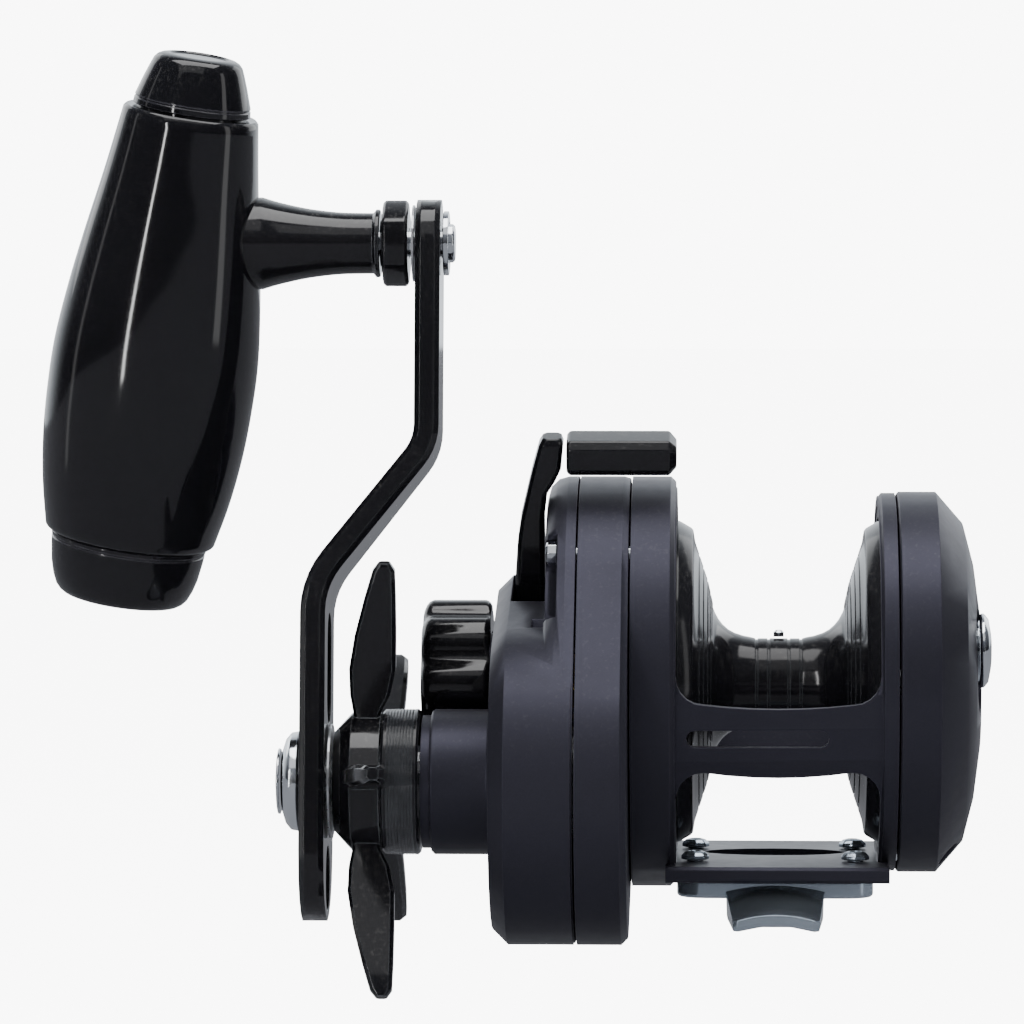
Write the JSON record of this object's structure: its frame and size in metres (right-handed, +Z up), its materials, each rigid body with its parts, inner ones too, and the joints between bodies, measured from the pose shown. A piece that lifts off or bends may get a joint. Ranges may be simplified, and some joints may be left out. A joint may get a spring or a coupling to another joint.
{
  "type": "baitcasting reel",
  "caption": "Star-drag baitcasting reel: ring frame, side covers, geared spool, foot, clutch bar, star drag and cranked arm with a power knob.",
  "frame": {"origin": "centre of the flat seat strip under the reel foot", "axes": "+X along the spool axis towards the palm side (handle at -X), -Y towards the angler, +Z up from the foot to the spool"},
  "size_m": [0.1572, 0.092, 0.1536],
  "materials": {
    "satin_anodised": "satin anodised charcoal",
    "gloss_black_metal": "gloss black anodised",
    "gloss_black_grip": "gloss black",
    "bright_chrome": "polished",
    "gunmetal_chrome": "dark polished",
    "steel": "machined",
    "gear_brass": "machined",
    "drag_carbon": "woven carbon"
  },
  "bodies": {
    "reel": {"frame": "satin_anodised", "reel_foot": "gunmetal_chrome", "foot_screw_1": "bright_chrome", "foot_screw_2": "bright_chrome", "foot_screw_3": "bright_chrome", "foot_screw_4": "bright_chrome", "gear_box": "satin_anodised", "gear_side_cover": "satin_anodised", "cover_screw_1": "bright_chrome", "cover_screw_2": "bright_chrome", "cover_screw_3": "bright_chrome", "palm_side_cover": "satin_anodised", "palm_screw_1": "steel", "palm_screw_2": "steel", "palm_screw_3": "steel", "spool_bearing_left": "steel", "spool_bearing_right": "steel", "drive_shaft_bearing": "steel", "one_way_clutch": "steel", "tension_shim": "gear_brass"},
    "spool_group": {"spool": "gloss_black_metal", "spool_shaft": "steel", "line_pin": "bright_chrome", "clicker_gear": "gear_brass"},
    "yoke_group": {"pinion_yoke": "gear_brass", "yoke_spring_1": "steel", "yoke_spring_2": "steel"},
    "pinion_group": {"pinion_gear": "steel"},
    "drive_group": {"drive_shaft": "steel", "drive_gear": "gear_brass", "drag_carbon_1": "drag_carbon", "drag_plate": "steel", "drag_carbon_2": "drag_carbon", "pressure_plate": "steel", "ratchet_wheel": "steel", "handle_washer": "steel", "handle_arm": "gloss_black_metal", "handle_nut": "bright_chrome", "nut_retainer": "bright_chrome", "knob_spindle": "bright_chrome", "spindle_retainer": "bright_chrome", "knob_washer": "steel", "knob_lobed_nut": "gloss_black_metal"},
    "sleeve_group": {"drag_sleeve": "steel", "drag_spring_washer": "steel"},
    "star_group": {"star_drag": "gloss_black_metal", "star_collar": "gloss_black_metal"},
    "knob_group": {"knob_stem": "gloss_black_metal", "knob_body": "gloss_black_grip", "knob_top_cap": "gloss_black_grip", "knob_bottom_cap": "gloss_black_grip", "knob_bearing_1": "steel", "knob_bearing_2": "steel"},
    "clutch_group": {"clutch_lever": "gloss_black_metal", "clutch_thumb_bar": "gloss_black_metal", "clutch_cam": "steel"},
    "cast_group": {"cast_control_knob": "gloss_black_metal"},
    "clicker_group": {"clicker_button": "bright_chrome", "clicker_pawl": "steel"},
    "pawl_group": {"anti_reverse_pawl": "steel"}
  },
  "joints": [
    {"name": "handle_turn", "type": "hinge", "parent": "reel", "child": "drive_group", "pos_m": [0, -0.02103, 0.02239], "axis": [1, 0, 0], "continuous": true},
    {"name": "spool_spin", "type": "hinge", "parent": "reel", "child": "spool_group", "pos_m": [0, 0, 0.0375], "axis": [1, 0, 0], "continuous": true},
    {"name": "clutch_press", "type": "hinge", "parent": "reel", "child": "clutch_group", "pos_m": [0, 0, 0.0375], "axis": [1, 0, 0], "range_deg": [0, 20]},
    {"name": "yoke_slide", "type": "slide", "parent": "reel", "child": "yoke_group", "axis": [-1, 0, 0], "range_m": [0, 0.0016]},
    {"name": "pinion_spin", "type": "hinge", "parent": "yoke_group", "child": "pinion_group", "pos_m": [0, 0, 0.0375], "axis": [1, 0, 0], "continuous": true},
    {"name": "star_turn", "type": "hinge", "parent": "drive_group", "child": "star_group", "pos_m": [0, -0.02103, 0.02239], "axis": [1, 0, 0], "range_deg": [-200, 200]},
    {"name": "sleeve_slide", "type": "slide", "parent": "drive_group", "child": "sleeve_group", "axis": [1, 0, 0], "range_m": [-0.00035, 0.00035]},
    {"name": "knob_spin", "type": "hinge", "parent": "drive_group", "child": "knob_group", "pos_m": [-0.1002, -0.01077, 0.11039], "axis": [1, 0, 0], "continuous": true},
    {"name": "cast_control_turn", "type": "hinge", "parent": "reel", "child": "cast_group", "pos_m": [-0.053, 0, 0.0375], "axis": [1, 0, 0], "range_deg": [-180, 180]},
    {"name": "clicker_slide", "type": "slide", "parent": "reel", "child": "clicker_group", "axis": [0, 0, -1], "range_m": [0, 0.004]},
    {"name": "pawl_lift", "type": "hinge", "parent": "reel", "child": "pawl_group", "pos_m": [-0.032, -0.01505, 0.00594], "axis": [-1, 0, 0], "range_deg": [0, 8]}
  ],
  "couplings": [
    {"joint": "spool_spin", "follows": "handle_turn", "ratio": -6.4},
    {"joint": "pinion_spin", "follows": "handle_turn", "ratio": -6.4},
    {"joint": "yoke_slide", "follows": "clutch_press", "m_per_rad": 0.00458},
    {"joint": "sleeve_slide", "follows": "star_turn", "m_per_rad": 0.0001}
  ]
}
